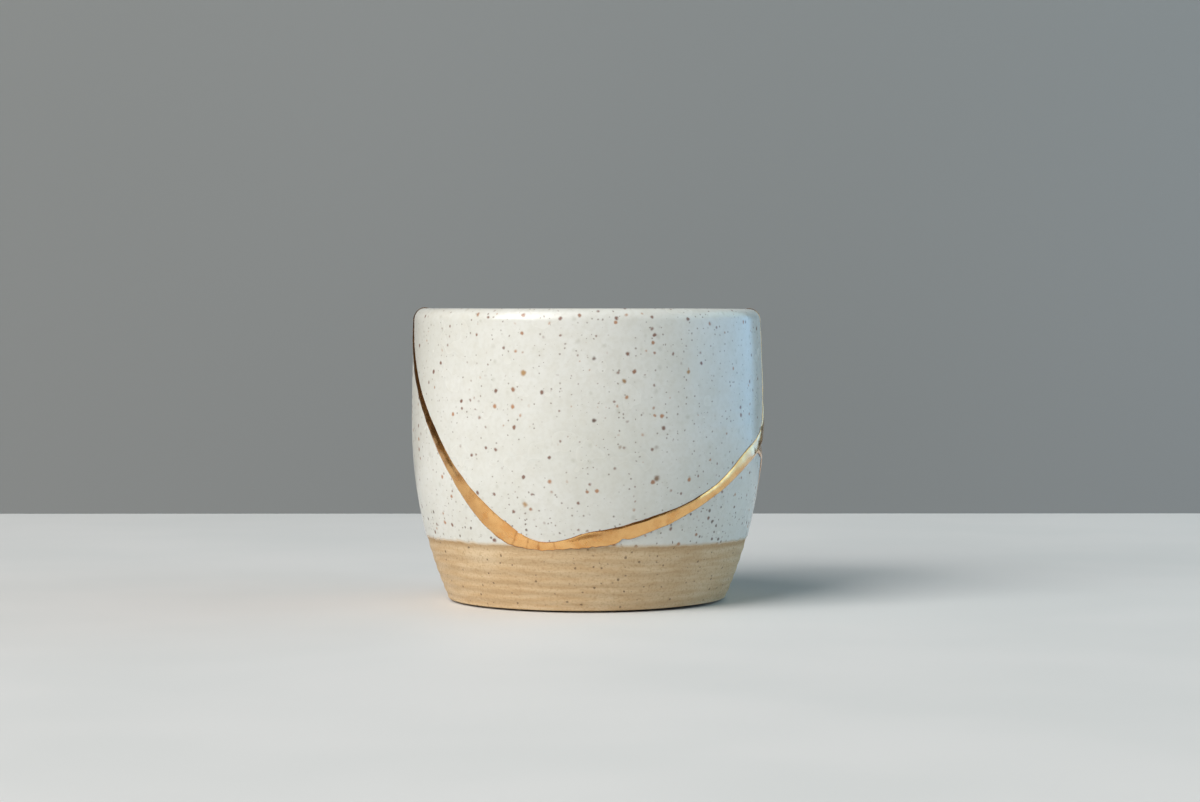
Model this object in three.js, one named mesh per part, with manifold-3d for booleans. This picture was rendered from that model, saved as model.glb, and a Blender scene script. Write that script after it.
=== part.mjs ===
// A kintsugi sake cup: a small wheel-thrown stoneware cup that broke, with the broken-out piece
// of its front wall set back and held by a raised seam of gold lacquer.
// Millimetres, +Z up. The origin is the centre of the foot, on the surface that the cup stands on.
// The front, where the seam dips lowest, faces -Y, and azimuths turn from there towards +X.
import * as THREE from 'three';
import { mergeVertices } from 'three/addons/utils/BufferGeometryUtils.js';
import loadManifold from 'manifold-3d';

const wasm = await loadManifold();
wasm.setup();

// Outline of the thrown cup
const HEIGHT = 58;
const BELLY_RADIUS = 35;
const BELLY_HEIGHT = 36;
const RIM_INSET = 0.6; // the rim's radius is this much less than the belly's
const FOOT_RADIUS = 27.9;
const FOOT_EDGE = 0.8; // rounding where the wall turns under the foot
const FOOT_CURVE = 2.13; // power of the curve from the belly down to the foot
const ROUND_STEPS = 60; // facets around the cup

// Wall, lip and floor
const LIP_THICKNESS = 4.1;
const LIP_RISE = 2.4; // height of the rounded lip
const LOW_WALL = 4.6; // wall thickness near the floor
const FLOOR_HEIGHT = 5.8; // inner floor above the table
const INNER_CORNER = 8; // radius between the inner wall and the floor
const RECESS_RADIUS = 21.6; // shallow trimmed hollow inside the foot ring
const RECESS_DEPTH = 0.9;
const RECESS_SLOPE = 1.1;

// Bare clay band, left by the throwing fingers, and the edge of the glaze above it
const GLAZE_LINE = 12.6;
const GLAZE_FILM = 0.15; // thickness of the glaze
const RIDGE_HEIGHTS = [2.3, 4.1, 6.0, 8.1, 10.5];
const RIDGE_RISE = 0.12;

// The break and its gold: [azimuth in degrees, height, bead width]
const LIP_BASE = HEIGHT - LIP_RISE;
const BREAK_LINE = [
  [-88, LIP_BASE, 1.9],
  [-83, 50.5, 2.0],
  [-71, 42.0, 2.0],
  [-59, 34.5, 2.5],
  [-48, 26.6, 2.7],
  [-38, 20.3, 3.5],
  [-28, 15.3, 3.9],
  [-18, 13.2, 2.2],
  [-6, 13.8, 2.1],
  [10, 15.4, 2.9],
  [28, 18.7, 2.7],
  [46, 23.7, 2.2],
  [62, 28.8, 3.1],
  [75, 31.9, 3.4],
  [84, 35.5, 2.6],
  [89, 44.0, 2.2],
  [91, LIP_BASE, 1.9],
];
// A filled crack that forks off the break and runs down to the foot
const FORK_LINE = [
  [73, 31.3, 2.8],
  [80, 30.0, 2.6],
  [86, 28.2, 2.3],
  [90, 23.5, 2.0],
  [92, 14.0, 1.8],
  [93, 1.8, 1.5],
];
const BEAD_RISE = 0.45; // how far the gold stands proud
const INNER_BEAD = 0.8; // the bead inside the cup, as a share of the width outside
const SEAM_THICKNESS = 0.6; // gold between the broken edges
const CRACK_DEPTH = 1.2; // groove filed along the forked crack
const BOND_GAP = 0.25; // clearance between gold and clay
const BREAK_STEPS = 40;
const FORK_STEPS = 10;
const LIP_STEPS = 6;

// Domed section of the bead, from edge to edge: [share of half the width, share of the rise]
const BEAD_SECTION = [
  [-1, 0],
  [-1, 0.3],
  [-0.6, 0.82],
  [0, 1],
  [0.6, 0.82],
  [1, 0.3],
  [1, 0],
];

// Skin of the cup
const CORNER_HEIGHT = FLOOR_HEIGHT + INNER_CORNER;

function outerRadius(height) {
  if (height > BELLY_HEIGHT) {
    return BELLY_RADIUS - RIM_INSET * ((height - BELLY_HEIGHT) / (HEIGHT - BELLY_HEIGHT)) ** 2;
  }
  const drop = (BELLY_HEIGHT - height) / (BELLY_HEIGHT - FOOT_EDGE);
  return BELLY_RADIUS - (BELLY_RADIUS - FOOT_RADIUS) * drop ** FOOT_CURVE;
}

function innerRadius(height) {
  const level = Math.max(height, CORNER_HEIGHT);
  const wall = THREE.MathUtils.mapLinear(level, CORNER_HEIGHT, LIP_BASE, LOW_WALL, LIP_THICKNESS);
  const below = level - height;
  const cornerInset = INNER_CORNER - Math.sqrt(INNER_CORNER ** 2 - below ** 2);
  return outerRadius(level) - wall - cornerInset;
}

const LIP_MIDDLE = (outerRadius(LIP_BASE) + innerRadius(LIP_BASE)) / 2;

// Radius and height on the rounded lip, from the outside at turn 0 to the inside at turn PI
function lipPoint(turn, swell = 0) {
  return new THREE.Vector2(
    LIP_MIDDLE + (LIP_THICKNESS / 2 + swell) * Math.cos(turn),
    LIP_BASE + (LIP_RISE + swell) * Math.sin(turn),
  );
}

// Half section of the cup, from the middle of the underside out, up, over the lip and down inside.
// A swell moves the outer wall, the lip and the inner wall outwards by that much.
function cupOutline(swell = 0) {
  const outline = [];
  const add = (radius, height) => outline.push(new THREE.Vector2(radius, height));
  add(0, RECESS_DEPTH);
  add(RECESS_RADIUS - RECESS_SLOPE, RECESS_DEPTH);
  add(RECESS_RADIUS, 0);
  add(FOOT_RADIUS - FOOT_EDGE, 0);
  add(FOOT_RADIUS - FOOT_EDGE * 0.3 - GLAZE_FILM, FOOT_EDGE * 0.3);
  const clayRadius = (height) => outerRadius(height) - GLAZE_FILM + swell;
  RIDGE_HEIGHTS.forEach((crest, i) => {
    const below = i > 0 ? RIDGE_HEIGHTS[i - 1] : FOOT_EDGE;
    const valley = (below + crest) / 2;
    add(clayRadius(valley) - RIDGE_RISE / 2, valley);
    add(clayRadius(crest) + RIDGE_RISE / 2, crest);
  });
  add(clayRadius(GLAZE_LINE) - RIDGE_RISE / 2, GLAZE_LINE);
  const firstGlaze = GLAZE_LINE + 2 * GLAZE_FILM;
  for (const height of [firstGlaze, 17, 22, 29, BELLY_HEIGHT, 43, 50]) {
    add(outerRadius(height) + swell, height);
  }
  const lipSteps = 8;
  for (let i = 0; i <= lipSteps; i += 1) {
    outline.push(lipPoint((Math.PI * i) / lipSteps, swell));
  }
  for (const height of [46, 34, 23]) {
    add(innerRadius(height) - swell, height);
  }
  const cornerSteps = 7;
  for (let i = 0; i <= cornerSteps; i += 1) {
    const turn = (Math.PI / 2) * (i / cornerSteps);
    const height = CORNER_HEIGHT - INNER_CORNER * Math.sin(turn);
    add(innerRadius(height) - swell, height);
  }
  add(0, FLOOR_HEIGHT);
  return outline;
}

// Stations along the gold: a place on the skin, the way the skin faces there and the bead's width
function skinStation(azimuth, point, facing, width) {
  const turn = THREE.MathUtils.degToRad(azimuth);
  const outward = new THREE.Vector3(Math.sin(turn), -Math.cos(turn), 0);
  const inFrame = (v) => outward.clone().multiplyScalar(v.x).setZ(v.y);
  return { place: inFrame(point), facing: inFrame(facing).normalize(), outward, width };
}

function wallStation(azimuth, height, width, radiusAt, side) {
  const step = 0.1;
  const slope = (radiusAt(height + step) - radiusAt(height - step)) / (2 * step);
  const point = new THREE.Vector2(radiusAt(height), height);
  const facing = new THREE.Vector2(side, -side * slope);
  return skinStation(azimuth, point, facing, width);
}

const outsideStation = (p) => wallStation(p.x, p.y, p.z, outerRadius, 1);
const insideStation = (p) => wallStation(p.x, p.y, p.z * INNER_BEAD, innerRadius, -1);

function lipStations(azimuth, width) {
  const stations = [];
  for (let i = 1; i < LIP_STEPS; i += 1) {
    const turn = (Math.PI * i) / LIP_STEPS;
    const facing = new THREE.Vector2(LIP_RISE * Math.cos(turn), (LIP_THICKNESS / 2) * Math.sin(turn));
    stations.push(skinStation(azimuth, lipPoint(turn), facing, width));
  }
  return stations;
}

function smoothLine(points, steps) {
  const corners = points.map((p) => new THREE.Vector3(...p));
  return new THREE.CatmullRomCurve3(corners).getSpacedPoints(steps);
}

// Rings of points around each station
function runAlong(stations, i, closed) {
  const count = stations.length;
  const next = closed ? (i + 1) % count : Math.min(i + 1, count - 1);
  const last = closed ? (i + count - 1) % count : Math.max(i - 1, 0);
  return stations[next].place.clone().sub(stations[last].place);
}

function beadRings(stations, closed) {
  return stations.map(({ place, facing, width }, i) => {
    const across = facing.clone().cross(runAlong(stations, i, closed)).normalize();
    return BEAD_SECTION.map(([side, rise]) => place.clone()
      .addScaledVector(across, (side * width) / 2)
      .addScaledVector(facing, BOND_GAP + rise * BEAD_RISE));
  });
}

// A strip that stands in the wall, from some way above the skin to some way below it
function stripRings(stations, thickness, above, below) {
  return stations.map(({ place, outward }, i) => {
    const across = outward.clone().cross(runAlong(stations, i, false)).normalize();
    const corners = [[-1, -below], [-1, above], [1, above], [1, -below]];
    return corners.map(([side, reach]) => place.clone()
      .addScaledVector(across, (side * thickness) / 2)
      .addScaledVector(outward, reach));
  });
}

// Solids
function toSolid(geometry) {
  geometry.deleteAttribute('normal');
  geometry.deleteAttribute('uv');
  const merged = mergeVertices(geometry);
  const corners = merged.getIndex().array;
  const triangles = [];
  for (let i = 0; i < corners.length; i += 3) {
    const [a, b, c] = corners.subarray(i, i + 3);
    if (a !== b && b !== c && c !== a) triangles.push(a, b, c);
  }
  return new wasm.Manifold(new wasm.Mesh({
    numProp: 3,
    vertProperties: new Float32Array(merged.getAttribute('position').array),
    triVerts: new Uint32Array(triangles),
  }));
}

function turnedSolid(outline) {
  const geometry = new THREE.LatheGeometry(outline, ROUND_STEPS);
  geometry.rotateX(Math.PI / 2);
  return toSolid(geometry);
}

function loftedSolid(rings, closed) {
  const around = rings[0].length;
  const places = rings.flat().flatMap((p) => p.toArray());
  const triangles = [];
  const spans = closed ? rings.length : rings.length - 1;
  for (let i = 0; i < spans; i += 1) {
    const here = i * around;
    const there = ((i + 1) % rings.length) * around;
    for (let j = 0; j < around; j += 1) {
      const k = (j + 1) % around;
      triangles.push(here + j, there + k, here + k);
      triangles.push(here + j, there + j, there + k);
    }
  }
  if (!closed) {
    const last = (rings.length - 1) * around;
    for (let j = 1; j < around - 1; j += 1) {
      triangles.push(0, j, j + 1);
      triangles.push(last, last + j + 1, last + j);
    }
  }
  const geometry = new THREE.BufferGeometry();
  geometry.setAttribute('position', new THREE.Float32BufferAttribute(places, 3));
  geometry.setIndex(triangles);
  return toSolid(geometry);
}

// The break runs through the wall, so its strip reaches past both faces and above the rim
const breakPath = smoothLine(BREAK_LINE, BREAK_STEPS);
const forkPath = smoothLine(FORK_LINE, FORK_STEPS);

function breakSheet(thickness) {
  const past = 3;
  const rimStart = breakPath[0].clone().setY(HEIGHT + past);
  const rimEnd = breakPath[BREAK_STEPS].clone().setY(HEIGHT + past);
  const stations = [rimStart, ...breakPath, rimEnd].map(outsideStation);
  return loftedSolid(stripRings(stations, thickness, past, LOW_WALL + past), false);
}

function crackStrip(path, thickness, above, below) {
  return loftedSolid(stripRings(path.map(outsideStation), thickness, above, below), false);
}

function goldSeam() {
  const rimStart = breakPath[0];
  const rimEnd = breakPath[BREAK_STEPS];
  const aroundTheWall = [
    ...breakPath.map(outsideStation),
    ...lipStations(rimEnd.x, rimEnd.z),
    ...breakPath.map(insideStation).reverse(),
    ...lipStations(rimStart.x, rimStart.z).reverse(),
  ];
  const intoTheBead = BOND_GAP + BEAD_RISE / 3;
  const bead = loftedSolid(beadRings(aroundTheWall, true), true);
  const filling = breakSheet(SEAM_THICKNESS).intersect(turnedSolid(cupOutline(intoTheBead)));
  const forkBead = loftedSolid(beadRings(forkPath.map(outsideStation), false), false);
  const forkFilling = crackStrip(forkPath, SEAM_THICKNESS, intoTheBead, CRACK_DEPTH);
  return bead.add(filling).add(forkBead).add(forkFilling);
}

function brokenPieces() {
  const slit = SEAM_THICKNESS + 2 * BOND_GAP;
  const pieces = turnedSolid(cupOutline()).subtract(breakSheet(slit)).decompose();
  const standsOnTheTable = (piece) => piece.boundingBox().min[2] < FOOT_EDGE;
  const crackEnd = forkPath[FORK_STEPS].clone();
  crackEnd.y -= BOND_GAP;
  const groove = crackStrip([...forkPath, crackEnd], slit, 1, CRACK_DEPTH + BOND_GAP);
  return {
    body: pieces.find(standsOnTheTable).subtract(groove),
    front: pieces.find((piece) => !standsOnTheTable(piece)),
  };
}

// Meshes
function namedMesh(name, solid, material) {
  const { vertProperties, triVerts } = solid.getMesh();
  const geometry = new THREE.BufferGeometry();
  geometry.setAttribute('position', new THREE.BufferAttribute(vertProperties, 3));
  geometry.setIndex(new THREE.BufferAttribute(triVerts, 1));
  geometry.computeVertexNormals();
  const mesh = new THREE.Mesh(geometry, material);
  mesh.name = name;
  return mesh;
}

const glazedStoneware = () => new THREE.MeshStandardMaterial({ color: '#e4e2d9', roughness: 0.35 });
const goldLacquer = () => new THREE.MeshStandardMaterial({
  color: '#c8974f',
  roughness: 0.35,
  metalness: 1,
});

const { body, front } = brokenPieces();
const cup = new THREE.Group();
cup.name = 'kintsugi_sake_cup';
cup.add(
  namedMesh('cup_body', body, glazedStoneware()),
  namedMesh('front_shard', front, glazedStoneware()),
  namedMesh('gold_seam', goldSeam(), goldLacquer()),
);

export default cup;
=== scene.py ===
import math

import bpy
import numpy as np
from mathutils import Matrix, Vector


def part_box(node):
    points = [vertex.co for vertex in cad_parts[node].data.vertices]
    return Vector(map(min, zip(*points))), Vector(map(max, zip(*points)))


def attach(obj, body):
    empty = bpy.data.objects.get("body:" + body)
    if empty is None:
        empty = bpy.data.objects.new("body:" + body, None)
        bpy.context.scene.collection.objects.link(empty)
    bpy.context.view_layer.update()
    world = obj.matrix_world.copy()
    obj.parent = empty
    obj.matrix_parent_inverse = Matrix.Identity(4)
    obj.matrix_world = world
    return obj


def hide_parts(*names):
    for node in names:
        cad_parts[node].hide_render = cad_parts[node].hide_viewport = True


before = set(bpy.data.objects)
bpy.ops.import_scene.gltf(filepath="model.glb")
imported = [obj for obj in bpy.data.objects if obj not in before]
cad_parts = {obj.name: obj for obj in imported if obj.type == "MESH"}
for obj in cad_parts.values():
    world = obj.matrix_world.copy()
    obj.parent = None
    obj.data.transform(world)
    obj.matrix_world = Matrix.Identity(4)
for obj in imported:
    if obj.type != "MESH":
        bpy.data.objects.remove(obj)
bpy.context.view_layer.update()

# Lengths are in millimetres, and azimuths in degrees to the right of the front. Meshes are made in metres
MM = 0.001
_, body_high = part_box("cup_body")

# Outline of the thrown cup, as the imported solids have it
HEIGHT = body_high.z / MM
BELLY_RADIUS = body_high.x / MM
BELLY_HEIGHT = 36.0
RIM_INSET = 0.6
FOOT_RADIUS = 27.9
FOOT_CURVE = 2.13
FOOT_EDGE = 0.8
FOOT_ROUND = 0.3
LIP_THICKNESS = 4.1
LIP_RISE = 2.4
LIP_BASE = HEIGHT - LIP_RISE
LOW_WALL = 4.6
FLOOR_HEIGHT = 5.8
INNER_CORNER = 8.0
CORNER_HEIGHT = FLOOR_HEIGHT + INNER_CORNER
RECESS_RADIUS = 21.6
RECESS_DEPTH = 0.9
RECESS_SLOPE = 1.1

# The undercut that lifts the edge of the foot off the table, a little more on the right
FOOT_UNDERCUT = 3.5
FOOT_LIFT = 0.38
FOOT_LIFT_RIGHT = 0.2

# Throwing: how far the wall is out of round and the rim out of level
OVAL = 0.10
THREE_CORNERED = 0.05
RIM_TILT = 0.12
RIM_WAVE = 0.06

# Throwing: the ridges of the bare clay, the faint rings under the glaze and the rings inside
RIDGE_HEIGHTS = (0.4, 2.3, 4.1, 6.0, 8.1, 10.5, 13.2)
RIDGE_RISE = 0.11
RIDGE_TILT = 0.16
RIDGE_WAVE = 0.06
RIDGE_FADE = 1.4
OUTSIDE_RING_PITCH = 2.7
OUTSIDE_RING_RISE = 0.015
OUTSIDE_RING_TILT = 0.3
OUTSIDE_RING_UNEVEN = 0.4
OUTSIDE_RING_UNEVEN_OVER = 7.0
OUTSIDE_RING_FADES = (3.0, 8.0)
INSIDE_RING_PITCH = 6.0
INSIDE_RING_RISE = 0.12
INSIDE_RING_TOP = 50.0
INSIDE_RING_FADE = 12.0
FLOOR_RING_FADES = (6.0, 4.0)

# Trimming: the grooves under the foot
TRIMMING_PITCH = 1.7
TRIMMING_RISE = 0.07
TRIMMING_FADE = 2.0

# Glazing: the height of the glaze's edge, its film, and the roll that it gathers to at the edge
GLAZE_HEIGHT = 12.5
GLAZE_DROP_RIGHT = 0.20
GLAZE_RISE_FRONT = 0.45
GLAZE_RIPPLES = (0.06, 0.04)
GLAZE_FILM = 0.15
GLAZE_STEP = 0.6
GLAZE_ROLL_RISE = 0.03
GLAZE_ROLL_HEIGHT = 0.7
GLAZE_ROLL_WIDTH = 0.5
WELL_GLAZED = 20.0

# The break and its gold: azimuth, height, width of the bead
BREAK_LINE = (
    (-86, LIP_BASE, 1.9),
    (-81.5, 50.5, 2.0),
    (-70, 42.0, 2.0),
    (-59, 34.5, 2.5),
    (-48, 26.6, 2.7),
    (-38, 20.3, 3.5),
    (-28, 15.3, 3.9),
    (-18, 13.2, 2.2),
    (-8, 13.4, 2.0),
    (0, 14.3, 2.8),
    (10, 15.2, 3.0),
    (28, 18.5, 2.7),
    (46, 23.2, 2.1),
    (62, 28.8, 3.1),
    (75, 31.9, 3.4),
    (84, 35.5, 2.6),
    (89, 44.0, 2.2),
    (91, LIP_BASE, 1.9),
)
FORK_LINE = (
    (73, 31.3, 2.8),
    (80, 30.0, 2.6),
    (86, 28.2, 2.3),
    (91, 23.5, 2.0),
    (93.5, 14.0, 1.8),
    (95, 1.8, 1.5),
)
BREAK_GAP = 0.5
CUT_PAST = 3.0
FILLING_BELOW_LIP = 0.5
FILLING_PAST = 0.1

# How high the bead stands: flat on the left, full on the right, low over the lip, and less where it is narrow
BEAD_RISE = 0.34
BEAD_FULL_WIDTH = 3.0
BEAD_RISE_SHARES = (0.6, 1.1)
LEFT_BEAD_SHARE = 0.34
LEFT_BEAD_FADE = 12.0
RIGHT_BEAD_SHARE = 1.35
RIGHT_BEAD_FADE = 10.0
LIP_BEAD_RISE = 0.2
LIP_BEAD_FADE = 4.0
LIP_ARC = 6.5
INNER_BEAD_SHARE = 0.8
INNER_BEAD_FADE = 6.0
INNER_BEAD_AZIMUTH = 180
FORK_END_RISE = 0.10
FORK_END_ROUND = 1.5
FORK_TIP = 0.05
BEAD_SUNK = 0.12
BEAD_ROOT_WIDTH = 0.85
BEAD_ROOT_DEPTH = 3 * BEAD_SUNK

# The bead's section: flat-topped with a feathered upper edge, and rounder with a lower crest on the right,
# with the changes eased over a few millimetres
FLAT_TOP = 5.0
ROUNDER_BY = 2.9
ROUND_FROM = 36.0
ROUND_FADE = 10.0
CREST_LEAN = 0.45
LEAN_AZIMUTHS = (43.0, 82.0)
LEAN_FADE = 4.0
FEATHER_TO = 2.0
FEATHER_FADE = 12.0
LONG_EASE = 4.0
SHORT_EASE = 2.0

# Its unevenness: how long each wave is, and how much it changes the width or the height
SLOW_WAVE = 9.0
SLOW_SHARE = 0.09
QUICK_WAVE = 2.2
QUICK_SHARE = 0.05
LUMP_WAVE = 3.0
LUMP_SHARE = 0.12
DIMPLE_WAVE = 1.0
DIMPLE_SHARE = 0.04
RAGGED_WAVE = 0.7
RAGGED_DEPTH = 0.14
RAGGED_UPPER_SHARE = 0.1
RAGGED_AZIMUTHS = (-29.0, 4.0)
RAGGED_FADE = 3.0
NOTCH_AZIMUTH = 11.5
NOTCH_WIDTH = 1.2
NOTCH_DEPTH = 0.5
CREASES = (-25.0, -20.5, -16.6, -11.0)
CREASE_WIDTH = 0.6
CREASE_DEPTH = 0.35

# Where the powder thins out, and where the gold is painted darker: as painted shade in its creases, and as
# painted dark reflections on its upper left limb, along its upper left edge and at its fork's end. The share
# of the half width over which it thins or darkens, and how far it does
BARE_EDGE = 0.14
# At its end the fork is dark lacquer over this share of its half width, a painted dark reflection along the
# right silhouette
FORK_PAINTED_DARK_EDGE = 0.7
UPPER_BARE_EDGE = 0.06
# A wider band along the upper left edge is painted darker, as a painted dark reflection, held short of full
# dark, between these azimuths
PAINTED_BAND_EDGE = 0.32
PAINTED_BAND_LIMIT = 0.62
LEFT_BAND_AZIMUTHS = (-62.0, -17.0)
LEFT_BAND_FADE = 8.0
RAGGED_BARE_EDGE = 0.10
# How far the gold in the creases is painted darker, as painted shade
CREASE_PAINTED_SHADE = 0.4
# How far the upper left limb's gold is painted darker, as a painted dark reflection, and where that fades out
LEFT_LIMB_PAINTED_DARK = 0.28
LEFT_LIMB_TO = -58.0
LEFT_LIMB_FADE = 20.0

# How finely the meshes are drawn, and above what angle in degrees an edge is sharp
TURN_STEPS = 288
MIDDLE_RADIUS = 0.6
UNDERSIDE_STEP = 0.45
FOOT_STEP = 0.9
SLOPE_STEP = 0.2
FOOT_TURN_STEP = math.pi / 14
RIDGE_STEP = 0.16
RIDGE_ROWS_TOP = 14.5
WALL_STEP = 0.45
LIP_TURN_STEP = math.pi / 24
INSIDE_STEP = 1.0
CORNER_TURN_STEP = math.pi / 30
FLOOR_STEP = 0.7
CUT_STEP = 0.8
GOLD_STEP = 0.16
BEAD_POINTS = 21
CURVE_POINTS = 40
SLOPE_REACH = 0.5
STONEWARE_SHARP = 50
GOLD_SHARP = 60

# Iron specks: spacing of the places for one, smallest and largest radius, and how much of it is soft edge
FAINT_SPECKS = (2.6, 0.35, 0.75, 0.9)
PEPPER = (1.0, 0.10, 0.29, 0.7)
BURNT_SPECKS = (1.3, 0.20, 0.50, 0.55)
RUSTY_SPECKS = (1.75, 0.22, 0.60, 0.65)
WIDE_BLOOMS = (6.0, 0.55, 0.85, 0.75)
# Small pits in the bare clay, drawn as dark dots of painted shade
PAINTED_PIT_SHADE = (1.2, 0.12, 0.34, 0.5)
SPECK_SCATTER = 0.8
SPECK_RAGGED = 0.4

# Where the specks thicken, above the glaze's edge and to the right of the axis, how far the edges of the
# glaze and of the gold waver, and how drawn out the clay's streaks are
SPECKS_THICKEN = (13.0, 3.0)
SPECKS_RIGHT = (5.0, 30.0)
GLAZE_EDGE_WAVER = 0.7
GOLD_EDGE_WAVER = 0.5
STREAK_STRETCH = 9.0

# Relief too fine for the meshes
SAND_RELIEF = 0.05
TURNED_RELIEF = 0.06
MELT_RELIEF = 0.03
BRUSH_RELIEF = 0.03
POWDER_RELIEF = 0.004

# Camera: an 85 mm lens level with the rim, and where the photograph has the eye level and the cup's axis
EYE_DISTANCE = 566.0
PHOTO_WIDTH = 1200
PHOTO_HEIGHT = 802
LENS = 85.0
SENSOR = 36.0
EYE_LEVEL_PIXEL = 308.7
CUP_AXIS_PIXEL = 587
NEAR_CLIP = 10.0

# Stage: how far the table and the paper reach from the cup's axis
TABLE_BACK = 235.0
TABLE_FRONT = 900.0
TABLE_LEFT = 340.0
TABLE_RIGHT = 900.0
TABLE_THICKNESS = 25.0
PAPER_BACK = 1000.0
PAPER_LEFT = 450.0
PAPER_RIGHT = 520.0
PAPER_HEIGHT = 700.0
PAPER_THICKNESS = 1.0

# Soft boxes: azimuth, elevation, distance, width, height, watts, colour
SOFT_BOXES = {
    "key_from_left": (-45, 32, 2200, 1600, 1300, 55, "#fffefb"),
    "ceiling_left": (-52, 62, 2200, 1400, 900, 16.5, "#ffffff"),
    "room_front": (-10, 8, 2000, 1600, 1000, 0.9, "#fff4e6"),
    "window_upper": (101, 32, 1200, 1600, 550, 5.4, "#b2dae4"),
    "window_lower": (104, 5, 1200, 1600, 550, 5.8, "#98ccfa"),
    "fill_right": (65, 18, 1600, 1400, 900, 2.8, "#cae2ee"),
}
ROOM_STRENGTH = 0.06


# Skin of the cup, with its azimuths in radians


def smooth(x):
    """0 below 0, 1 above 1 and an even S between."""
    x = np.clip(x, 0.0, 1.0)
    return x * x * (3.0 - 2.0 * x)


def outer_radius(height):
    """The true round outside, over the glaze."""
    above = np.clip(height - BELLY_HEIGHT, 0.0, None) / (HEIGHT - BELLY_HEIGHT)
    below = np.clip(BELLY_HEIGHT - height, 0.0, None) / (BELLY_HEIGHT - FOOT_EDGE)
    return BELLY_RADIUS - RIM_INSET * above**2 - (BELLY_RADIUS - FOOT_RADIUS) * below**FOOT_CURVE


def inner_radius(height):
    """The true round inside, with its rounded corner down to the floor."""
    level = np.maximum(height, CORNER_HEIGHT)
    share = (level - CORNER_HEIGHT) / (LIP_BASE - CORNER_HEIGHT)
    wall = LOW_WALL + (LIP_THICKNESS - LOW_WALL) * share
    drop = np.clip(level - height, 0.0, INNER_CORNER)
    return outer_radius(level) - wall - INNER_CORNER + np.sqrt(INNER_CORNER**2 - drop**2)


def out_of_round(azimuth, height):
    """A thrown pot is never quite round, least of all near its rim."""
    rise = smooth(height / HEIGHT)
    return rise * (OVAL * np.sin(2 * azimuth + 0.7) + THREE_CORNERED * np.sin(3 * azimuth + 2.1))


def glaze_line(azimuth):
    """Height of the glaze's edge, dipped a little askew."""
    long_ripple, short_ripple = GLAZE_RIPPLES
    ripple = long_ripple * np.sin(5 * azimuth + 1.1) + short_ripple * np.sin(13 * azimuth + 0.4)
    return GLAZE_HEIGHT - GLAZE_DROP_RIGHT * np.sin(azimuth) + GLAZE_RISE_FRONT * np.cos(azimuth) + ripple


def smooth_skin(azimuth, height):
    """The outside without its throwing ridges."""
    over_line = height - glaze_line(azimuth)
    film = GLAZE_FILM * smooth(over_line / GLAZE_STEP + 0.5)
    roll = GLAZE_ROLL_RISE * np.exp(-(((over_line - GLAZE_ROLL_HEIGHT) / GLAZE_ROLL_WIDTH) ** 2))
    turn = height / OUTSIDE_RING_PITCH + OUTSIDE_RING_TILT * np.sin(azimuth + 1.0)
    turn = turn + OUTSIDE_RING_UNEVEN * np.sin(height / OUTSIDE_RING_UNEVEN_OVER)
    low_fade, high_fade = OUTSIDE_RING_FADES
    fade = smooth(over_line / low_fade) * smooth((LIP_BASE - height) / high_fade)
    rings = 0.5 * OUTSIDE_RING_RISE * np.cos(2 * math.pi * turn) * fade
    return outer_radius(height) - GLAZE_FILM + film + roll + rings + out_of_round(azimuth, height)


def outer_skin(azimuth, height):
    """The outside with the throwing ridges that show where the clay is bare."""
    bare = 1 - smooth((height - glaze_line(azimuth)) / RIDGE_FADE + 0.5)
    drift = RIDGE_TILT * np.sin(azimuth + 0.8) + RIDGE_WAVE * np.sin(4 * azimuth)
    ridge = np.interp(height + drift, RIDGE_HEIGHTS, np.arange(len(RIDGE_HEIGHTS)))
    return smooth_skin(azimuth, height) + 0.5 * RIDGE_RISE * np.cos(2 * math.pi * ridge) * bare


def inner_skin(azimuth, height):
    """The inside with its rings, which climb in one spiral and fade out below the lip."""
    turn = height / INSIDE_RING_PITCH - azimuth / (2 * math.pi)
    fade = smooth((INSIDE_RING_TOP - height) / INSIDE_RING_FADE)
    rings = 0.5 * INSIDE_RING_RISE * np.cos(2 * math.pi * turn) * fade
    return inner_radius(height) + rings + out_of_round(azimuth, height)


def rim_height(azimuth):
    """How far the rim is above or below its level."""
    return RIM_TILT * np.sin(azimuth + 2.6) + RIM_WAVE * np.sin(2 * azimuth)


def lip_point(azimuth, turn):
    """Radius and height on the rounded lip, from the outside at turn 0 to the inside at pi."""
    outside = outer_skin(azimuth, LIP_BASE)
    inside = inner_skin(azimuth, LIP_BASE)
    radius = (outside + inside) / 2 + (outside - inside) / 2 * np.cos(turn)
    return radius, LIP_BASE + (LIP_RISE + rim_height(azimuth)) * np.sin(turn)


def spaced(start, end, step):
    """Values from start up to but without end, about a step apart."""
    count = max(2, int(round(abs(end - start) / step)))
    return np.linspace(start, end, count, endpoint=False)


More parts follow.
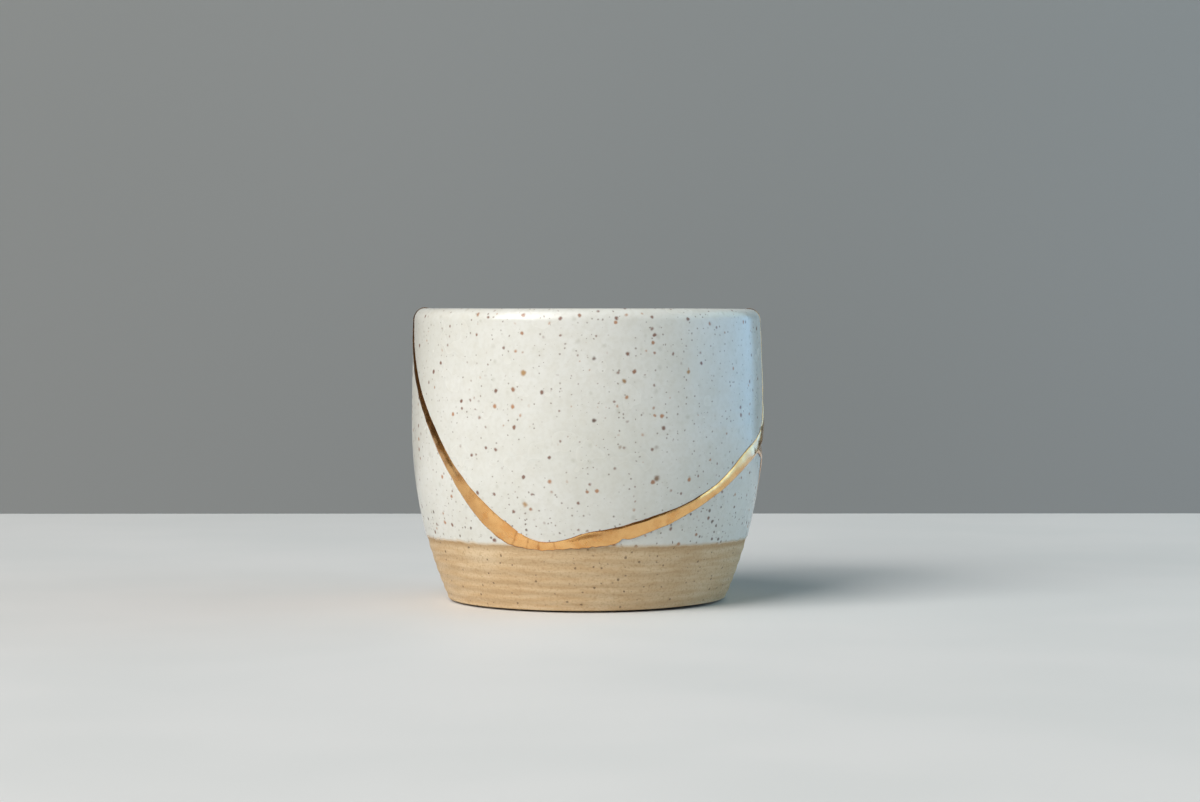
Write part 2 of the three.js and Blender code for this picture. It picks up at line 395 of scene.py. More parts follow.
def cup_rows(azimuth):
    """Rings of radius and height, from near the middle of the underside to near the middle of the floor."""
    rows = []
    flat = np.zeros_like(azimuth)

    def add(radius, height):
        rows.append((radius + flat, height + flat))

    # Underside: the recess with its grooves, the flat of the foot, and the undercut out to its edge
    recess_edge = RECESS_RADIUS - RECESS_SLOPE
    for radius in spaced(MIDDLE_RADIUS, recess_edge, UNDERSIDE_STEP):
        fade = smooth((recess_edge - radius) / TRIMMING_FADE)
        groove = math.cos(2 * math.pi * radius / TRIMMING_PITCH) * fade
        add(radius, RECESS_DEPTH + 0.5 * TRIMMING_RISE * groove)
    for share in spaced(0, 1, SLOPE_STEP):
        add(recess_edge + RECESS_SLOPE * share, RECESS_DEPTH * (1 - smooth(share)))
    for radius in spaced(RECESS_RADIUS, FOOT_RADIUS - FOOT_UNDERCUT, FOOT_STEP):
        add(radius, 0.0)
    foot = outer_skin(azimuth, FOOT_EDGE)
    lift = FOOT_LIFT + FOOT_LIFT_RIGHT * smooth(np.sin(azimuth))
    for share in spaced(0, 1, SLOPE_STEP):
        add(foot - FOOT_ROUND - (FOOT_UNDERCUT - FOOT_ROUND) * (1 - share), lift * share)
    for turn in spaced(0, math.pi / 2, FOOT_TURN_STEP):
        rounded = (FOOT_EDGE - lift) * (1 - math.cos(turn))
        add(foot - FOOT_ROUND * (1 - math.sin(turn)), lift + rounded)

    # Outside, closer together over the ridges and the glaze's edge, and over the lip
    for height in spaced(FOOT_EDGE, RIDGE_ROWS_TOP, RIDGE_STEP):
        add(outer_skin(azimuth, height), height)
    for height in spaced(RIDGE_ROWS_TOP, LIP_BASE, WALL_STEP):
        add(outer_skin(azimuth, height), height)
    for turn in spaced(0, math.pi, LIP_TURN_STEP):
        add(*lip_point(azimuth, turn))

    # Inside, round the corner and in over the floor, where the spiral of rings goes on
    for height in spaced(LIP_BASE, CORNER_HEIGHT, INSIDE_STEP):
        add(inner_skin(azimuth, height), height)
    for turn in spaced(0, math.pi / 2, CORNER_TURN_STEP):
        height = CORNER_HEIGHT - INNER_CORNER * math.sin(turn)
        add(inner_skin(azimuth, height), height)
    floor_edge = inner_radius(FLOOR_HEIGHT)
    edge_fade, middle_fade = FLOOR_RING_FADES
    for radius in spaced(floor_edge, MIDDLE_RADIUS, FLOOR_STEP):
        turn = radius / INSIDE_RING_PITCH + azimuth / (2 * math.pi)
        fade = smooth((floor_edge - radius) / edge_fade) * smooth(radius / middle_fade)
        add(radius, FLOOR_HEIGHT + 0.5 * INSIDE_RING_RISE * np.cos(2 * math.pi * turn) * fade)
    return rows


# Meshes


def mesh_object(name, points, faces):
    """A new mesh in the scene from points in millimetres."""
    mesh = bpy.data.meshes.new(name)
    mesh.from_pydata((np.asarray(points) * MM).tolist(), [], faces)
    mesh.validate()
    made = bpy.data.objects.new(name, mesh)
    bpy.context.scene.collection.objects.link(made)
    return made


def ring_faces(rings, around, closed):
    """Quads between rings of points, the last one joined to the first if closed."""
    faces = []
    for i in range(rings if closed else rings - 1):
        here = i * around
        there = (i + 1) % rings * around
        for j in range(around):
            k = (j + 1) % around
            faces.append((here + j, here + k, there + k, there + j))
    return faces


def in_space(azimuth, radius, height):
    """Points or directions in space, with the front at -y."""
    return np.stack([radius * np.sin(azimuth), -radius * np.cos(azimuth), height + 0 * radius], axis=-1)


def whole_cup():
    """The cup before it broke, closed at the middle of its underside and of its floor."""
    azimuth = np.linspace(0, 2 * math.pi, TURN_STEPS, endpoint=False)
    rows = cup_rows(azimuth)
    radius, height = (np.array(part) for part in zip(*rows))
    points = in_space(azimuth, radius, height).reshape(-1, 3).tolist()
    faces = ring_faces(len(rows), TURN_STEPS, closed=False)
    under = len(points)
    floor = under + 1
    last = (len(rows) - 1) * TURN_STEPS
    points.append((0, 0, height[0].mean()))
    points.append((0, 0, height[-1].mean()))
    for j in range(TURN_STEPS):
        k = (j + 1) % TURN_STEPS
        faces.append((under, k, j))
        faces.append((floor, last + j, last + k))
    return mesh_object("whole_cup", points, faces)


def smooth_line(corners, step):
    """Points about a step apart on a smooth curve through the corners."""
    corners = np.array(corners, float)
    padded = np.vstack([2 * corners[0] - corners[1], corners, 2 * corners[-1] - corners[-2]])
    share = np.linspace(0, 1, CURVE_POINTS, endpoint=False)[:, None]
    pieces = []
    for a, b, c, d in zip(padded, padded[1:], padded[2:], padded[3:]):
        bend = 2 * a - 5 * b + 4 * c - d
        twist = 3 * b - a - 3 * c + d
        pieces.append(b + 0.5 * ((c - a) * share + bend * share**2 + twist * share**3))
    fine = np.vstack([*pieces, corners[-1:]])
    radius = outer_radius(fine[:, 1])
    run = np.diff(fine, axis=0)
    run[:, 0] = np.radians(run[:, 0]) * radius[1:]
    length = np.concatenate([[0], np.cumsum(np.hypot(run[:, 0], run[:, 1]))])
    even = np.linspace(0, length[-1], int(length[-1] / step) + 1)
    return np.stack([np.interp(even, length, column) for column in fine.T], axis=-1)


def unit(vectors):
    """The vectors at length 1."""
    return vectors / np.linalg.norm(vectors, axis=-1, keepdims=True)


def wall_stations(line, skin, side):
    """Places on a wall and the way it faces there: side 1 is the outside, -1 the inside."""
    azimuth = np.radians(line[:, 0])
    height = line[:, 1]
    slope = (skin(azimuth, height + SLOPE_REACH) - skin(azimuth, height - SLOPE_REACH)) * side
    place = in_space(azimuth, skin(azimuth, height), height)
    facing = in_space(azimuth, np.full_like(height, float(side)), -slope)
    return place, unit(facing)


def carried_up(end, before, height):
    """Azimuth in degrees where a line that ends at the lip would be higher up."""
    return end[0] + (end[0] - before[0]) / (end[1] - before[1]) * (height - end[1])


def lip_stations(end, before, steps):
    """Places over the lip and the way it faces there, from the outside to the inside."""
    turn = np.pi * np.arange(1, steps) / steps
    azimuth = np.radians(carried_up(end, before, LIP_BASE + LIP_RISE * np.sin(turn)))
    radius, height = lip_point(azimuth, turn)
    facing = in_space(azimuth, LIP_RISE * np.cos(turn), LIP_THICKNESS / 2 * np.sin(turn))
    return in_space(azimuth, radius, height), unit(facing)


def waver(count, wave, seed):
    """A gentle random line of about -1 to 1 along the gold, through knots that many millimetres apart."""
    knot_every = wave / GOLD_STEP
    knots = np.random.default_rng(seed).uniform(-1, 1, int(count / knot_every) + 3)
    place = np.arange(count) / knot_every
    whole = place.astype(int)
    share = smooth(place - whole)
    return knots[whole] * (1 - share) + knots[whole + 1] * share


def between(value, limits, fade):
    """1 between the limits, falling to 0 outside them over the fade."""
    return smooth((value - limits[0]) / fade + 1) * smooth((limits[1] - value) / fade + 1)


def eased(values, reach, closed):
    """The values along a run of gold, evened out over that many millimetres."""
    steps = int(reach / GOLD_STEP)
    padded = np.pad(values, steps, mode="wrap" if closed else "edge")
    return np.convolve(padded, np.full(steps, 1 / steps), "same")[steps:-steps]


def bead(name, azimuth, place, facing, width, rise, bare, closed, seed):
    """A run of lacquer with uneven edges, flat-topped on the left and with a leaning crest on the right,
    and with creases and a ragged edge at its low bend. Each point keeps how far its gold powder thins
    out, and how far it is painted darker, as shade in the creases and as dark reflections on the left."""
    count = len(place)
    if closed:
        run = np.roll(place, -1, axis=0) - np.roll(place, 1, axis=0)
    else:
        run = np.gradient(place, axis=0)
    across = unit(np.cross(facing, run))

    # Its two edges, the lower one first
    ragged = between(azimuth, RAGGED_AZIMUTHS, RAGGED_FADE)
    notch = NOTCH_DEPTH * np.exp(-(((azimuth - NOTCH_AZIMUTH) / NOTCH_WIDTH) ** 2))
    edges = []
    for side, worn in ((0, ragged), (1, RAGGED_UPPER_SHARE * ragged)):
        slow = waver(count, SLOW_WAVE, seed + side)
        quick = waver(count, QUICK_WAVE, seed + 2 + side)
        rough = waver(count, RAGGED_WAVE, seed + 6 + side)
        swelling = 1 + SLOW_SHARE * slow + QUICK_SHARE * quick
        edges.append(width / 2 * swelling + RAGGED_DEPTH * worn * rough)
    edges[0] = edges[0] - notch

    # Its height and the shape of its section
    crease = sum(np.exp(-(((azimuth - mark) / CREASE_WIDTH) ** 2)) for mark in CREASES)
    lumps = 1 + LUMP_SHARE * waver(count, LUMP_WAVE, seed + 4)
    lumps = lumps + DIMPLE_SHARE * waver(count, DIMPLE_WAVE, seed + 5)
    rise = BEAD_SUNK + rise * lumps * (1 - CREASE_DEPTH * crease)
    feather = eased(1 - smooth((azimuth - FEATHER_TO) / FEATHER_FADE), LONG_EASE, closed)
    flatness = eased(FLAT_TOP - ROUNDER_BY * smooth((azimuth - ROUND_FROM) / ROUND_FADE), LONG_EASE, closed)
    lean = eased(CREST_LEAN * between(azimuth, LEAN_AZIMUTHS, LEAN_FADE), SHORT_EASE, closed)

    # Where its powder thins at the edges, and where it is painted darker: as shade in the creases, and as
    # dark reflections on the upper left limb and along the upper left edge
    # The band along the upper left edge that is painted darker, as a painted dark reflection
    painted_reflection_band = eased(between(azimuth, LEFT_BAND_AZIMUTHS, LEFT_BAND_FADE), SHORT_EASE, closed)
    # The upper left limb, painted darker as a painted dark reflection
    left_limb_painted_dark = eased(1 - smooth((azimuth - LEFT_LIMB_TO) / LEFT_LIMB_FADE), LONG_EASE, closed)
    # The creases are painted darker, as painted shade
    marks = np.maximum(CREASE_PAINTED_SHADE * crease, LEFT_LIMB_PAINTED_DARK * left_limb_painted_dark)
    # The upper edge darkens over a wider band where the painted dark reflection runs
    bare_upper = bare + UPPER_BARE_EDGE + PAINTED_BAND_EDGE * painted_reflection_band
    bare_lower = bare + RAGGED_BARE_EDGE * ragged

    rings = []
    thin_and_painted_dark = []
    for u in np.sin(np.linspace(-math.pi / 2, math.pi / 2, BEAD_POINTS)):
        reach = np.where(u < 0, edges[0], edges[1]) * u
        off_crest = np.where(u > -lean, (u + lean) / (1 + lean), (u + lean) / (1 - lean))
        dome = (1 - abs(off_crest) ** flatness) ** 0.5
        if u > 0:
            sloped = 1 - (1 - BEAD_SUNK / rise) * smooth(u)
            dome = dome + (sloped - dome) * feather
            # Within the painted dark band the edge is held short of full dark
            edge = np.clip((u - 1) / bare_upper + 1, 0, 1) * (1 - PAINTED_BAND_LIMIT * painted_reflection_band)
        else:
            edge = np.clip((-u - 1) / bare_lower + 1, 0, 1)
        thin_and_painted_dark.append(np.maximum(edge, marks))
        rings.append(place + across * reach[:, None] + facing * (rise * dome - BEAD_SUNK)[:, None])
    for u in (BEAD_ROOT_WIDTH, -BEAD_ROOT_WIDTH):
        reach = np.where(u < 0, edges[0], edges[1]) * u
        thin_and_painted_dark.append(np.ones(count))
        rings.append(place + across * reach[:, None] - facing * BEAD_ROOT_DEPTH)
    points = np.stack(rings, axis=1)
    around = len(rings)
    faces = [tuple(reversed(face)) for face in ring_faces(count, around, closed)]
    if not closed:
        last = (count - 1) * around
        faces.append(tuple(range(around)))
        faces.append(tuple(last + j for j in reversed(range(around))))
    made = mesh_object(name, points.reshape(-1, 3), faces)
    # Each point's value: how far the powder thins, raised where the gold is painted darker as shade and as
    # dark reflection
    note(made, "thin_gold_and_painted_dark", np.stack(thin_and_painted_dark, axis=1).ravel())
    return made


def strip(name, place, outward, thickness, above, below):
    """A strip that stands in the wall along a line, from above the skin to below it."""
    across = unit(np.cross(outward, np.gradient(place, axis=0))) * thickness / 2
    above = outward * above
    below = outward * below
    points = np.stack([place - across - below, place - across + above,
                       place + across + above, place + across - below], axis=1)
    last = (len(place) - 1) * 4
    faces = [tuple(reversed(face)) for face in ring_faces(len(place), 4, closed=False)]
    faces.append((0, 1, 2, 3))
    faces.append((last + 3, last + 2, last + 1, last))
    return mesh_object(name, points.reshape(-1, 3), faces)


def break_sheet(name, thickness, past):
    """The break as a sheet through the wall, past both faces and above the rim."""
    line = smooth_line(BREAK_LINE, CUT_STEP)
    top = HEIGHT + past
    first = (carried_up(line[0], line[1], top), top, 0)
    final = (carried_up(line[-1], line[-2], top), top, 0)
    line = np.vstack([first, line, final])
    azimuth = np.radians(line[:, 0])
    place = in_space(azimuth, outer_radius(line[:, 1]), line[:, 1])
    outward = in_space(azimuth, np.ones(len(line)), np.zeros(len(line)))
    return strip(name, place, outward, thickness, past, LOW_WALL + past)


def combine(piece, tool, operation):
    """Cuts or joins a closed piece with a closed tool, which is then gone."""
    cut = piece.modifiers.new("combine", "BOOLEAN")
    cut.operation = operation
    cut.solver = "MANIFOLD"
    cut.object = tool
    seen = piece.evaluated_get(bpy.context.evaluated_depsgraph_get())
    mesh = bpy.data.meshes.new_from_object(seen)
    piece.modifiers.clear()
    piece.data = mesh
    bpy.data.objects.remove(tool)
    return piece


def loose_parts(piece):
    """Splits a piece into its separate closed parts."""
    bpy.ops.object.select_all(action="DESELECT")
    piece.select_set(True)
    bpy.context.view_layer.objects.active = piece
    bpy.ops.object.mode_set(mode="EDIT")
    bpy.ops.mesh.select_all(action="SELECT")
    bpy.ops.mesh.separate(type="LOOSE")
    bpy.ops.object.mode_set(mode="OBJECT")
    return list(bpy.context.selected_objects)


def broken_cup():
    """The cup cut along the break. The two largest parts are the body and the shard, and crumbs go."""
    cup = combine(whole_cup(), break_sheet("break_cut", BREAK_GAP, CUT_PAST), "DIFFERENCE")
    parts = sorted(loose_parts(cup), key=lambda part: len(part.data.vertices))
    *crumbs, shard, body = parts
    for crumb in crumbs:
        bpy.data.objects.remove(crumb)
    shard.name = "front_shard_stoneware"
    body.name = "cup_body_stoneware"
    return body, shard


def note(piece, name, values):
    """Keeps a value at each point of a piece, for its material to read."""
    attribute = piece.data.attributes.new(name, "FLOAT", "POINT")
    attribute.data.foreach_set("value", np.asarray(values, np.float32))


def mark_glaze(piece):
    """Keeps at each point how far it is above the glaze's edge, in millimetres. Inside is all glazed."""
    places = np.empty(len(piece.data.vertices) * 3, np.float32)
    piece.data.vertices.foreach_get("co", places)
    x, y, height = (places.reshape(-1, 3) / MM).astype(float).T
    radius = np.hypot(x, y)
    azimuth = np.arctan2(x, -y)
    middle = (outer_radius(height) + inner_radius(height)) / 2
    inside = (height > FLOOR_HEIGHT / 2) & (radius < middle)
    over_line = np.where(inside, WELL_GLAZED, height - glaze_line(azimuth))
    note(piece, "over_glaze_line", over_line)


def gold_seam():
    """The gold as one piece: a closed bead round the shard, the fork's bead, and the filling in the break."""
    line = smooth_line(BREAK_LINE, GOLD_STEP)
    lip_steps = int(LIP_ARC / GOLD_STEP)
    outside = wall_stations(line, outer_skin, 1)
    inside = wall_stations(line[::-1], inner_skin, -1)
    right_lip = lip_stations(line[-1], line[-2], lip_steps)
    left_lip = [part[::-1] for part in lip_stations(line[0], line[1], lip_steps)]
    place, facing = (np.vstack(parts) for parts in zip(outside, right_lip, inside, left_lip))

    # Azimuth, height and width along it. The inner face is narrower and has none of the outside's marks
    over_right = np.repeat(line[-1:], lip_steps - 1, axis=0)
    over_left = np.repeat(line[:1], lip_steps - 1, axis=0)
    inner_line = line[::-1].copy()
    inner_line[:, 0] = INNER_BEAD_AZIMUTH
    inner_line[:, 2] *= 1 - (1 - INNER_BEAD_SHARE) * smooth((LIP_BASE - inner_line[:, 1]) / INNER_BEAD_FADE)
    azimuth, height, width = np.vstack([line, over_right, inner_line, over_left]).T
    low = smooth((LIP_BASE - height) / LIP_BEAD_FADE)
    left = 1 - (1 - LEFT_BEAD_SHARE) * between(azimuth, LEFT_BAND_AZIMUTHS, LEFT_BEAD_FADE)
    right = 1 + (RIGHT_BEAD_SHARE - 1) * between(azimuth, LEAN_AZIMUTHS, RIGHT_BEAD_FADE)
    full = BEAD_RISE * np.clip(width / BEAD_FULL_WIDTH, *BEAD_RISE_SHARES) * left * right
    rise = LIP_BEAD_RISE + (full - LIP_BEAD_RISE) * low
    seam = bead("gold_seam_lacquer", azimuth, place, facing, width, rise, BARE_EDGE, closed=True, seed=11)

    # The fork runs out low and narrow to a rounded end, painted dark over more of its width toward it, as a
    # painted dark reflection along the right silhouette
    fork = smooth_line(FORK_LINE, GOLD_STEP)
    place, facing = wall_stations(fork, smooth_skin, 1)
    to_end = GOLD_STEP * np.arange(len(fork))[::-1]
    rounded = np.sqrt(1 - np.clip(1 - (to_end + FORK_TIP) / FORK_END_ROUND, 0, 1) ** 2)
    rise = np.linspace(BEAD_RISE, FORK_END_RISE, len(fork))
    # Dark over more of its width toward its end, as a painted dark reflection
    bare = np.linspace(BARE_EDGE, FORK_PAINTED_DARK_EDGE, len(fork))
    width = fork[:, 2] * rounded
    fork_bead = bead("fork_bead", fork[:, 0], place, facing, width, rise, bare, closed=False, seed=31)

    within = line[:, 1] < LIP_BASE - FILLING_BELOW_LIP
    place, outward = (part[within] for part in outside)
    filling = strip("filling", place, outward, BREAK_GAP, 0.0, LOW_WALL + FILLING_PAST)
    combine(seam, fork_bead, "UNION")
    combine(seam, filling, "UNION")
    return seam


# Materials

# The Mix node's own numbers for the sockets of two plain values and of two colours, and the softer MapRange
VALUE_A = 2
VALUE_B = 3
COLOUR_A = 6
COLOUR_B = 7
COLOUR_MIXED = 2
SOFTLY = {"interpolation_type": "SMOOTHSTEP"}


def linear(hex_colour, alpha=1.0):
    """A #rrggbb colour as the linear values that shaders use."""
    parts = [int(hex_colour[i:i + 2], 16) / 255 for i in (1, 3, 5)]
    return [c / 12.92 if c <= 0.04045 else ((c + 0.055) / 1.055) ** 2.4 for c in parts] + [alpha]


def per_mm(size):
    """Scale of a pattern whose features are that many millimetres wide."""
    return 1 / (size * MM)


def node(tree, kind, inputs=None, **settings):
    """Adds a node with its settings, sets or links its inputs, and gives its outputs."""
    made = tree.nodes.new("ShaderNode" + kind)
    for name, value in settings.items():
        setattr(made, name, value)
    for name, value in (inputs or {}).items():
        if isinstance(value, bpy.types.NodeSocket):
            tree.links.new(value, made.inputs[name])
        else:
            made.inputs[name].default_value = value
    return made.outputs


def new_material(name):
    """An empty material and its node tree."""
    material = bpy.data.materials.new(name)
    material.use_nodes = True
    material.node_tree.nodes.clear()
    return material, material.node_tree


def patches(tree, where, size, detail, low, high, least=0.0, most=1.0):
    """Soft patches that many millimetres wide, from least where the pattern is low to most where high."""
    cloud = node(tree, "TexNoise", {"Vector": where, "Scale": per_mm(size), "Detail": detail})["Fac"]
    limits = {"Value": cloud, "From Min": low, "From Max": high, "To Min": least, "To Max": most}
    return node(tree, "MapRange", limits, **SOFTLY)["Result"]


def stained(tree, base, stain, shown, strength=1.0):
    """A base colour with another laid over it where shown is 1, as strongly as strength says."""
    share = node(tree, "Math", {0: shown, 1: strength}, operation="MULTIPLY")[0]
    laid = node(tree, "Mix", {0: share, COLOUR_A: base, COLOUR_B: stain}, data_type="RGBA")
    return laid[COLOUR_MIXED]


def iron_specks(tree, where, kind, share):
    """Round specks of iron in that share of their places: how strongly one shows, its tone and its size."""
    spacing, smallest, largest, softness = kind
    cells = node(tree, "TexVoronoi", {"Vector": where, "Scale": per_mm(spacing), "Randomness": SPECK_SCATTER})
    chance = node(tree, "SeparateColor", {"Color": cells["Color"]})
    sizes = {"Value": chance["Green"], "To Min": smallest / spacing, "To Max": largest / spacing}
    size = node(tree, "MapRange", sizes, **SOFTLY)["Result"]
    core = node(tree, "Math", {0: size, 1: 1 - softness}, operation="MULTIPLY")[0]
    fading = {"Value": cells["Distance"], "From Min": core, "From Max": size, "To Min": 1.0, "To Max": 0.0}
    spot = node(tree, "MapRange", fading, **SOFTLY)["Result"]
    chosen = node(tree, "Math", {0: chance["Red"], 1: share}, operation="LESS_THAN")[0]
    shown = node(tree, "Math", {0: spot, 1: chosen}, operation="MULTIPLY")[0]
    return shown, chance["Blue"], chance["Green"]


def speckled_stoneware():
    """Buff stoneware, thrown and dipped in a satin white glaze. Iron in the clay bleeds up through the
    glaze as brown specks, the glaze thins out to tan at its edge, and below it the clay is bare and dull."""
    material, tree = new_material("speckled_stoneware")
    where = node(tree, "TexCoord")["Object"]
    over_line = node(tree, "Attribute", attribute_name="over_glaze_line")["Fac"]

    # The glaze's edge wavers up to a third of a millimetre and fades over one
    drift = node(tree, "TexNoise", {"Vector": where, "Scale": per_mm(2.0), "Detail": 2.0})["Fac"]
    centred = {0: drift, 1: GLAZE_EDGE_WAVER, 2: -GLAZE_EDGE_WAVER / 2}
    wander = node(tree, "Math", centred, operation="MULTIPLY_ADD")[0]
    edge = node(tree, "Math", {0: over_line, 1: wander}, operation="ADD")[0]
    cover = node(tree, "MapRange", {"Value": edge, "From Min": -0.25, "From Max": 0.75}, **SOFTLY)["Result"]
    gloss = node(tree, "MapRange", {"Value": edge, "From Min": -0.15, "From Max": 0.3}, **SOFTLY)["Result"]

    # Glaze: warm white, clouded where it lies thicker or thinner, mottled and finely grained
    cloud = patches(tree, where, size=20.0, detail=2.0, low=0.3, high=0.7)
    glaze = stained(tree, linear("#d3d3ce"), linear("#cbcbc4"), cloud)
    mottle = patches(tree, where, size=2.2, detail=3.0, low=0.35, high=0.75)
    glaze = stained(tree, glaze, linear("#c4c1b5"), mottle, strength=0.30)
    grain = patches(tree, where, size=0.8, detail=2.0, low=0.4, high=0.7)
    glaze = stained(tree, glaze, linear("#b5b1a4"), grain, strength=0.16)

    # Specks aren't quite round, and there are more where the glaze thins out to its edge and on the right
    bent = node(tree, "TexNoise", {"Vector": where, "Scale": per_mm(0.9), "Detail": 1.0})["Color"]
    shift = node(tree, "VectorMath", {0: bent, 1: [SPECK_RAGGED * MM] * 3}, operation="MULTIPLY")[0]
    ragged = node(tree, "VectorMath", {0: where, 1: shift}, operation="ADD")[0]
    above = {"Value": over_line, "From Min": SPECKS_THICKEN[0], "From Max": SPECKS_THICKEN[1]}
    thinning = node(tree, "MapRange", above, **SOFTLY)["Result"]
    across = node(tree, "SeparateXYZ", {"Vector": where})["X"]
    rightward = {"Value": across, "From Min": SPECKS_RIGHT[0] * MM, "From Max": SPECKS_RIGHT[1] * MM}
    right = node(tree, "MapRange", rightward, **SOFTLY)["Result"]

    # Faint ones deep in the glaze
    faint, _, _ = iron_specks(tree, ragged, FAINT_SPECKS, share=0.6)
    glaze = stained(tree, glaze, linear("#8f8d78"), faint, strength=0.25)

    # Fine pepper
    busy = node(tree, "Math", {0: thinning, 1: right}, operation="MAXIMUM")[0]
    many = node(tree, "MapRange", {"Value": busy, "To Min": 0.65, "To Max": 1.0}, **SOFTLY)["Result"]
    pepper, _, _ = iron_specks(tree, ragged, PEPPER, share=many)
    glaze = stained(tree, glaze, linear("#654f41"), pepper, strength=0.62)

    # Burnt ones, only low down
    toasted = node(tree, "MapRange", {"Value": right, "To Min": 0.6, "To Max": 1.0}, **SOFTLY)["Result"]
    burning = node(tree, "Math", {0: thinning, 1: toasted}, operation="MULTIPLY")[0]
    few = node(tree, "MapRange", {"Value": burning, "From Min": 0.2, "To Max": 0.85}, **SOFTLY)["Result"]
    burnt, _, _ = iron_specks(tree, ragged, BURNT_SPECKS, share=few)
    glaze = stained(tree, glaze, linear("#553d32"), burnt, strength=0.8)

    # Larger rusty ones, the small ones paler
    rust, tone, size = iron_specks(tree, ragged, RUSTY_SPECKS, share=0.6)
    lighter = node(tree, "MapRange", {"Value": tone, "From Min": 0.45, "From Max": 0.9}, **SOFTLY)["Result"]
    rusty = stained(tree, linear("#6f4636"), linear("#a5744e"), lighter)
    by_size = {"Value": size, "From Max": 0.8, "To Min": 0.45, "To Max": 0.9}
    strength = node(tree, "MapRange", by_size, **SOFTLY)["Result"]
    glaze = stained(tree, glaze, rusty, rust, strength)

    # A few wide blooms
    bloom, tone, _ = iron_specks(tree, ragged, WIDE_BLOOMS, share=0.35)
    lighter = node(tree, "MapRange", {"Value": tone, "From Min": 0.3, "From Max": 0.7}, **SOFTLY)["Result"]
    blooming = stained(tree, linear("#573a30"), linear("#a07a48"), lighter)
    glaze = stained(tree, glaze, blooming, bloom, strength=0.9)

    # Bare clay: buff, streaked along the throwing marks, with grit, a browner line under the glaze, and small
    # pits drawn as dark dots of painted shade
    stretched = node(tree, "Mapping", {"Vector": where, "Scale": (1.0, 1.0, STREAK_STRETCH)})[0]
    streaks = patches(tree, stretched, size=7.0, detail=4.0, low=0.3, high=0.7)
    clay = stained(tree, linear("#c7ae8a"), linear("#ba9c74"), streaks)
    pale = patches(tree, where, size=14.0, detail=2.0, low=0.5, high=0.75)
    clay = stained(tree, clay, linear("#d0bc9c"), pale, strength=0.5)
    sand = patches(tree, where, size=0.45, detail=2.0, low=0.45, high=0.75)
    clay = stained(tree, clay, linear("#a5855c"), sand, strength=0.5)
    from_below = node(tree, "MapRange", {"Value": edge, "From Min": -1.3, "From Max": -0.4}, **SOFTLY)
    from_above = node(tree, "MapRange", {"Value": edge, "From Min": 0.3, "From Max": -0.3}, **SOFTLY)
    under = node(tree, "Math", {0: from_below["Result"], 1: from_above["Result"]}, operation="MULTIPLY")[0]
    clay = stained(tree, clay, linear("#96713f"), under, strength=0.35)
    # Dark dots of painted shade for small pits
    painted_pit_shade, _, _ = iron_specks(tree, ragged, PAINTED_PIT_SHADE, share=0.55)
    clay = stained(tree, clay, linear("#5b4429"), painted_pit_shade, strength=0.75)

    # Dull clay and satin glaze
    colour = stained(tree, clay, glaze, cover)
    dull = patches(tree, where, size=0.45, detail=2.0, low=0.2, high=0.8, least=0.52, most=0.70)
    satin = patches(tree, where, size=9.0, detail=2.0, low=0.3, high=0.7, least=0.20, most=0.28)
    roughness = node(tree, "Mix", {0: gloss, VALUE_A: dull, VALUE_B: satin})[0]

    # Heights in millimetres: sandy clay with fine turned lines, and the faint ripple of a melted glaze
    grit = node(tree, "TexNoise", {"Vector": where, "Scale": per_mm(0.45), "Detail": 2.0})["Fac"]
    turned = node(tree, "TexNoise", {"Vector": stretched, "Scale": per_mm(1.2), "Detail": 2.0})["Fac"]
    melted = node(tree, "TexNoise", {"Vector": where, "Scale": per_mm(3.5), "Detail": 2.0})["Fac"]
    lines = node(tree, "Math", {0: turned, 1: TURNED_RELIEF}, operation="MULTIPLY")[0]
    sandy = node(tree, "Math", {0: grit, 1: SAND_RELIEF, 2: lines}, operation="MULTIPLY_ADD")[0]
    ripple = node(tree, "Math", {0: melted, 1: MELT_RELIEF}, operation="MULTIPLY")[0]
    height = node(tree, "Mix", {0: gloss, VALUE_A: sandy, VALUE_B: ripple})[0]
    normal = node(tree, "Bump", {"Height": height, "Distance": MM, "Strength": 1.0})[0]

    surface = {"Base Color": colour, "Roughness": roughness, "IOR": 1.5, "Normal": normal}
    shader = node(tree, "BsdfPrincipled", surface)[0]
    node(tree, "OutputMaterial", {"Surface": shader})
    return material


